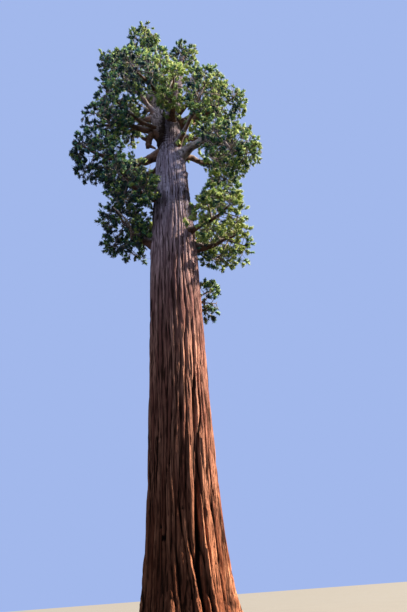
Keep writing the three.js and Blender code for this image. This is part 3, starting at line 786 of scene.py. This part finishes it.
# Twigs
# Slim brown twigs by the model's rule, carried finer: from each stem four main twigs to places
# spread evenly over the inside of the skin, from those and the stem the branchlets, and from the
# branchlets the last fine twigs. Each is a thin tapering rod with three sides, all joined by group.
SEED = 41
GOLDEN_ANGLE = math.pi * (3 - math.sqrt(5))
OWN_SKIN = 1.02  # how far out of its mass a twig or spray may reach, as a scaled distance
MAIN_TWIGS = 4
TWIG_REACH = 0.62
TWIG_FIRST = 0.2  # share of the stem at which the first leaves it
TWIG_RANGE = 0.65  # and the share over which the rest do
MAIN_TWIG_RADIUS = 0.05
BRANCHLETS = 56  # on a mass of the usual size
FEWEST_BRANCHLETS = 8
BRANCHLET_REACH = 0.8
BRANCHLET_SKIN = 0.97  # how near the skin a branchlet may end, as a scaled distance
BRANCHLET_RADIUS = 0.022
BRANCHLET_SAG = 0.12  # of its length
BEARING_PLACES = (0.35, 0.5, 0.65, 0.8, 0.95)  # shares of a stem or main twig at which they leave it
USUAL_SKIN = 2.7  # product of the three half sizes to the power 2/3 of such a mass
FINE_TWIGS = 8  # on each branchlet
FINE_TWIG_LENGTH = 0.42
FINE_TWIG_RADIUS = 0.011
FINE_TWIG_TAPER = 0.4
HALFWAY_TAPER = 0.75  # of a branchlet, at its bend
ONWARD = 0.45  # how far a fine twig leans ahead along its branchlet
UNEVEN = 0.6  # how far it strays from its even place there
SPIN = 6.3  # and from its even turn, in radians
TIP_TWIGS = 24  # fine twigs at the very top of the tree
SPACE_MARGIN = 0.05  # scaled distance kept from the space of the next mass
GAP_SIZE = 0.45  # gaps in the foliage are lumps of noise of this size that fall below the level
GAP_LEVEL = 0.1
SMALL_IS_DENSE = 0.45  # how much lower that level is in the smallest masses
# And in masses that are dense for their size
DENSER = {"far_left": 0.12, "left_under": 0.08, "lower_left_front": 0.12, "lower_left": 0.07}
BOUGH_TUFTS = 4  # short branchlets on the open stretch of each bough
TUFTS_FROM = 0.55  # share of that stretch that stays bare
TUFTS_CROWD = 0.7  # the less, the nearer to its mass they crowd
TUFT_REACH = 0.6
TUFT_TWIGS = 4
TWIG_FURROW, TWIG_UPPER = 0.25, 0.55  # how much painted furrow shade the twigs' bark takes, and how much of the grey upper colour of weathering and painted light
TIP_SUNK = 0.28  # how far below the top of the tree the last twig ends
PUFF_SKIN = 0.92  # how near the skin the last twigs may end, as a scaled distance
PUFF_CORE = 0.4  # the middle of a mass is bare wood up to this scaled distance


def random_from(seed):
    """The model's own seeded numbers from 0 to 1."""
    state = seed
    while True:
        state = (state * 1664525 + 1013904223) % 4294967296
        yield state / 4294967296


def even_direction(index, count, turn):
    """Directions spread evenly over a ball, turned by an angle."""
    z = 1 - 2 * (index + 0.5) / count
    ring = math.sqrt(1 - z * z)
    angle = index * GOLDEN_ANGLE + turn
    return np.array([math.cos(angle) * ring, math.sin(angle) * ring, z])


def in_own_space(mass, points, skin=OWN_SKIN):
    """Whether points lie in a mass's space and nearer to it than to any other."""
    own = mass.distance(points)
    kept = own < skin
    for other in masses:
        if other is not mass:
            kept &= other.distance(points) > own + SPACE_MARGIN
    return kept


def grow_twigs(mass, seed):
    """The twigs of one mass, as rods (from, to, two radii), and where its sprays stand."""
    random = random_from(seed)
    rods = []
    turn = next(random) * 2 * math.pi
    bearers = [(mass.point(mass.mouth), mass.point(1.0))]
    for i in range(MAIN_TWIGS):
        outward = even_direction(i, MAIN_TWIGS, turn)
        to = mass.centre + outward * mass.half * TWIG_REACH
        share = TWIG_FIRST + TWIG_RANGE * (i + next(random)) / MAIN_TWIGS
        start = mass.point(mass.mouth + (1 - mass.mouth) * share)
        if in_own_space(mass, to[None])[0]:
            rods.append((start, to, MAIN_TWIG_RADIUS, BRANCHLET_RADIUS))
            bearers.append((start, to))
    bearing_places = [a + (b - a) * share for a, b in bearers for share in BEARING_PLACES]
    skin = float(np.prod(mass.half) ** (2 / 3)) / USUAL_SKIN
    count = max(FEWEST_BRANCHLETS, round(BRANCHLETS * skin))
    ends = []
    for i in range(count):
        outward = even_direction(i, count, turn + 1)
        reach = BRANCHLET_REACH * (0.8 + 0.3 * next(random))
        to = mass.centre + outward * mass.half * reach
        if not in_own_space(mass, to[None], BRANCHLET_SKIN)[0]:
            continue
        lengths = [np.linalg.norm(to - place) for place in bearing_places]
        at = bearing_places[np.argmin(lengths)]
        middle = (at + to) / 2 + np.array([0, 0, -BRANCHLET_SAG]) * min(lengths)
        branchlet(at, middle, to, FINE_TWIGS, random, rods, ends)
    tips = np.array([tip for _, tip, _ in ends])
    kept = in_own_space(mass, tips, PUFF_SKIN) & (mass.distance(tips) > PUFF_CORE)
    gap_level = GAP_LEVEL - SMALL_IS_DENSE * max(0, 1 - skin) - DENSER.get(mass.name, 0)
    kept &= noise_at(tips, GAP_SIZE) > gap_level
    ends = [end for end, is_kept in zip(ends, kept) if is_kept]
    if mass is leader:
        tip = mass.centre + (0, 0, mass.half[2] - TIP_SUNK)
        at = mass.point(1.0)
        branchlet(at, (at + tip) / 2, tip, TIP_TWIGS, random, rods, ends)
    elif mass.bough:
        grow_tufts(mass, random, rods, ends)
    for start, tip, _ in ends:
        rods.append((start, tip, FINE_TWIG_RADIUS, FINE_TWIG_RADIUS * FINE_TWIG_TAPER))
    return rods, ends


def branchlet(at, middle, to, count, random, rods, ends):
    """A branchlet bent at its middle, and the places of the fine twigs along it."""
    rods.append((at, middle, BRANCHLET_RADIUS, BRANCHLET_RADIUS * HALFWAY_TAPER))
    rods.append((middle, to, BRANCHLET_RADIUS * HALFWAY_TAPER, FINE_TWIG_RADIUS))
    ahead = unit(to - middle)
    side = unit(np.cross(ahead, [next(random) - 0.5, next(random) - 0.5, next(random) - 0.5]))
    over = np.cross(ahead, side)
    ends.append((middle, to, ahead))
    for k in range(count):
        share = (k + 0.5 + UNEVEN * (next(random) - 0.5)) / count
        first = at + (middle - at) * min(1, 2 * share)
        start = first + (to - middle) * max(0, 2 * share - 1)
        spin = k * GOLDEN_ANGLE + SPIN * next(random)
        way = unit(ahead * ONWARD + side * math.cos(spin) + over * math.sin(spin))
        tip = start + way * FINE_TWIG_LENGTH * (0.7 + 0.6 * next(random))
        ends.append((start, tip, way))


def grow_tufts(mass, random, rods, ends):
    """Short branchlets along the open stretch of a bough, more of them towards its mass."""
    for i in range(BOUGH_TUFTS):
        share = TUFTS_FROM + (1 - TUFTS_FROM) * ((i + next(random)) / BOUGH_TUFTS) ** TUFTS_CROWD
        at = mass.point(mass.leaves + (mass.mouth - mass.leaves) * share)
        out = np.array([next(random) - 0.5, next(random) - 0.5, 0.9 * next(random) - 0.35])
        to = at + unit(out) * TUFT_REACH * (0.6 + 0.8 * next(random))
        branchlet(at, (at + to) / 2, to, TUFT_TWIGS, random, rods, ends)


def joined_mesh(name, points, faces, materials, tones=None):
    """One mesh from arrays of points and three-cornered faces."""
    mesh = bpy.data.meshes.new(name)
    mesh.vertices.add(len(points))
    mesh.vertices.foreach_set("co", points.astype(np.float32).ravel())
    mesh.loops.add(faces.size)
    mesh.loops.foreach_set("vertex_index", faces.astype(np.int32).ravel())
    mesh.polygons.add(len(faces))
    mesh.polygons.foreach_set("loop_start", np.arange(0, faces.size, 3, dtype=np.int32))
    if tones is not None:
        mesh.polygons.foreach_set("material_index", tones.astype(np.int32))
    for material in materials:
        mesh.materials.append(material)
    mesh.update(calc_edges=True)
    mesh.shade_smooth()
    piece = bpy.data.objects.new(name, mesh)
    bpy.context.collection.objects.link(piece)
    return piece


THREE_CORNERS = (0, 2 * math.pi / 3, 4 * math.pi / 3)
RODS_ASKEW = (0.31, 0.2, 0.93)


def rods_mesh(rods):
    """Three-sided rods with closed ends, as points and faces."""
    starts, stops = np.array([r[0] for r in rods]), np.array([r[1] for r in rods])
    radii = np.array([r[2:] for r in rods])
    way = unit(stops - starts)
    side = unit(np.cross(way, RODS_ASKEW))
    over = np.cross(way, side)
    rings = []
    for ends, radius in ((starts, radii[:, 0]), (stops, radii[:, 1])):
        for turn in THREE_CORNERS:
            out = side * math.cos(turn) + over * math.sin(turn)
            rings.append(ends + out * radius[:, None])
    points = np.stack(rings, axis=1).reshape(-1, 3)
    walls = [(0, 1, 4), (0, 4, 3), (1, 2, 5), (1, 5, 4), (2, 0, 3), (2, 3, 5), (0, 2, 1), (3, 4, 5)]
    faces = np.array(walls)[None] + 6 * np.arange(len(rods))[:, None, None]
    return points, faces.reshape(-1, 3)


groups = {}
for index, mass in enumerate(masses):
    mass.rods, mass.ends = grow_twigs(mass, SEED + index)
    groups.setdefault(mass.group, []).append(mass)

for group, members in groups.items():
    points, faces = rods_mesh([rod for mass in members for rod in mass.rods])
    piece = joined_mesh(f"twigs_{group}", points, faces, [limb_bark])
    set_share(piece.data, "furrow", np.full(len(points), TWIG_FURROW))
    set_share(piece.data, "upper", np.full(len(points), TWIG_UPPER))
    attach(piece, "root")
    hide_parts(*[f"foliage_{mass.name}" for mass in members])


# Needles
# Small blue-green awl-shaped needles clothe cord-like shoots, a few to a spray and several sprays to
# a puff at the end of each fine twig. A shoot is one pointed three-sided cord here, larger than
# life. Each spray takes one plain green by how much light its place in the crown gets.
SPRAYS_TO_PUFF = 5
SPRAY_LENGTH = 0.31
SPRAY_SUNK = 0.25  # the share of it that lies along the twig
ALONG_TWIG = 0.8  # how far they point along their twig
SPRAY_SPREAD = 0.5  # and how far apart
FIRST_SPREAD = 0.25  # the share of that for the first of a puff
FROM_WOOD = 0.08  # kept between their tips and the trunk and leader
SIDE_SHOOTS = 8
SHOOT_RADIUS = 0.09  # share of the spray's length
# Side shoots as shares of the spray's length: the first's place, the stretch they stand on, their
# length there, and how much shorter they are at its end
SHOOTS_FROM, SHOOTS_STRETCH, SHOOT_LENGTH, SHOOT_SHORTER = 0.08, 0.72, 0.56, 0.26
SHOOT_AHEAD, SHOOT_RISE = 0.75, 0.45  # how far they lean ahead, and up or down
SHOOTS_ASKEW = (0.2, 0.35, 0.9)
NEEDLE_TONES = ["#163239", "#275350", "#427656", "#6a9350", "#8aa94e", "#a9ba5e", "#85735f"]
SHADE_TO_SUN = 6  # how many of the tones go from shade to sun; the last is old brown foliage
BROWN_SHARE = 0.06
# How light a spray is, from 0 in the shade to 1 in the sun: the mean, and what is added to it
LIGHTNESS = 0.43
SUNNY_SIDE = 0.18  # on the side of its mass that faces the lamp
TO_THE_RIGHT = 0.025  # for each metre to the right
OUTWARD = (0.5, 0.8)  # for each scaled distance from the centre of its mass past the second value
FACING_LAMP = 0.12  # where the spray itself points to the lamp
BY_PUFF = 0.26  # at random, alike for a puff
BY_CLUMP = 0.5  # at random, alike over a clump
CLUMP_SIZE = 0.7
BY_SPRAY = 0.34  # at random, for each spray
# And in masses that stand in the sun or in deep shade
BRIGHTER = {
    "front_centre": 0.56, "front_right": 0.24, "crown_top": 0.16, "top_saddle": 0.24,
    "upper_left": 0.14, "left_middle": -0.08, "far_left": -0.14, "left_under": -0.2,
    "lower_left_front": -0.14, "lower_left": -0.1, "lower_right_front": 0.5, "lower_right": 0.36,
    "right_hanging": 0.12, "right_outer": 0.06,
}


def shoot(root, way, length, radius):
    """One pointed cord: a ring of three points at its root, and its tip."""
    side = unit(np.cross(way, SHOOTS_ASKEW))
    over = np.cross(way, side)
    ring = [root + (side * math.cos(a) + over * math.sin(a)) * radius for a in THREE_CORNERS]
    return [*ring, root + way * length]


SHOOT_FACES = [(0, 2, 1), (3, 0, 1), (3, 1, 2), (3, 2, 0)]


def spray_form():
    """The points and faces of one spray of length 1 along X, its shoots to both sides along Y."""
    points = shoot(np.zeros(3), np.array([1.0, 0, 0]), 1.0, SHOOT_RADIUS)
    for k in range(SIDE_SHOOTS):
        share = SHOOTS_FROM + SHOOTS_STRETCH * k / (SIDE_SHOOTS - 1)
        side = 1 if k % 2 else -1
        way = unit(np.array([SHOOT_AHEAD, side, SHOOT_RISE * math.sin(2.4 * k)]))
        length = SHOOT_LENGTH - SHOOT_SHORTER * share
        points += shoot(np.array([share, 0, 0]), way, length, SHOOT_RADIUS)
    faces = [[i + 4 * k for i in f] for k in range(SIDE_SHOOTS + 1) for f in SHOOT_FACES]
    return np.array(points), np.array(faces)


# Waxy evergreen needles: each material is one plain green with a dull sheen.
needle_materials = []
for number, colour in enumerate(NEEDLE_TONES, 1):
    needles = new_material(f"sequoia needles {number}")
    values = {"Base Color": linear(colour), "Roughness": 0.62, "Specular IOR Level": 0.35}
    surface = add_node(needles.node_tree, "ShaderNodeBsdfPrincipled", values)
    add_node(needles.node_tree, "ShaderNodeOutputMaterial", links={"Surface": surface.outputs[0]})
    needle_materials.append(needles)

form_points, form_faces = spray_form()
to_lamp = np.array(TO_LAMP.normalized())


def place_sprays(mass, seed):
    """Where the sprays of a mass stand: roots, three axes, lengths and tones."""
    numbers = np.random.default_rng(seed)
    _, tips, ways = (np.array(column) for column in zip(*mass.ends))
    count = len(tips) * SPRAYS_TO_PUFF
    tips, ways = tips.repeat(SPRAYS_TO_PUFF, axis=0), ways.repeat(SPRAYS_TO_PUFF, axis=0)
    spread = numbers.normal(size=(count, 3))
    spread[::SPRAYS_TO_PUFF] *= FIRST_SPREAD
    ahead = unit(ways * ALONG_TWIG + spread * SPRAY_SPREAD)
    side = unit(np.cross(ahead, numbers.normal(size=(count, 3))))
    over = np.cross(ahead, side)
    length = SPRAY_LENGTH * numbers.uniform(0.75, 1.15, count)
    roots = tips - ahead * (SPRAY_SUNK * length)[:, None]
    ends = roots + ahead * length[:, None]
    in_a_space = np.any([other.distance(ends) < 1 for other in masses], axis=0)
    in_reach = in_own_space(mass, ends) | ~in_a_space
    under_top = ends[:, 2] < leader.centre[2] + leader.half[2]
    kept = in_reach & under_top & (clear_of_wood(ends) > FROM_WOOD)
    puff_noise = numbers.normal(size=len(mass.ends)).repeat(SPRAYS_TO_PUFF)
    out = unit((ends - mass.centre) / mass.half)
    lit = LIGHTNESS + SUNNY_SIDE * out @ to_lamp + TO_THE_RIGHT * ends[:, 0]
    lit = lit + BY_PUFF * puff_noise + BY_CLUMP * noise_at(ends, CLUMP_SIZE, 3.3)
    lit += BRIGHTER.get(mass.name, 0) + OUTWARD[0] * (mass.distance(ends) - OUTWARD[1])
    lit += FACING_LAMP * (ahead @ to_lamp) + BY_SPRAY * numbers.normal(size=count)
    tones = np.clip(np.floor(lit * SHADE_TO_SUN), 0, SHADE_TO_SUN - 1).astype(int)
    tones[numbers.random(count) < BROWN_SHARE] = SHADE_TO_SUN
    axes = np.stack([ahead, side, over], axis=1)
    return roots[kept], axes[kept], length[kept], tones[kept]


for group, members in groups.items():
    placed = [place_sprays(mass, SEED + masses.index(mass)) for mass in members]
    roots, axes, lengths, tones = (np.concatenate(column) for column in zip(*placed))
    points = roots[:, None] + np.einsum("vk,nkj->nvj", form_points, axes) * lengths[:, None, None]
    faces = form_faces[None] + len(form_points) * np.arange(len(roots))[:, None, None]
    points, faces, tones = points.reshape(-1, 3), faces.reshape(-1, 3), tones.repeat(len(form_faces))
    piece = joined_mesh(f"needles_{group}", points, faces, needle_materials, tones)
    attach(piece, "root")
    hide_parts(*[f"foliage_{mass.name}" for mass in members])
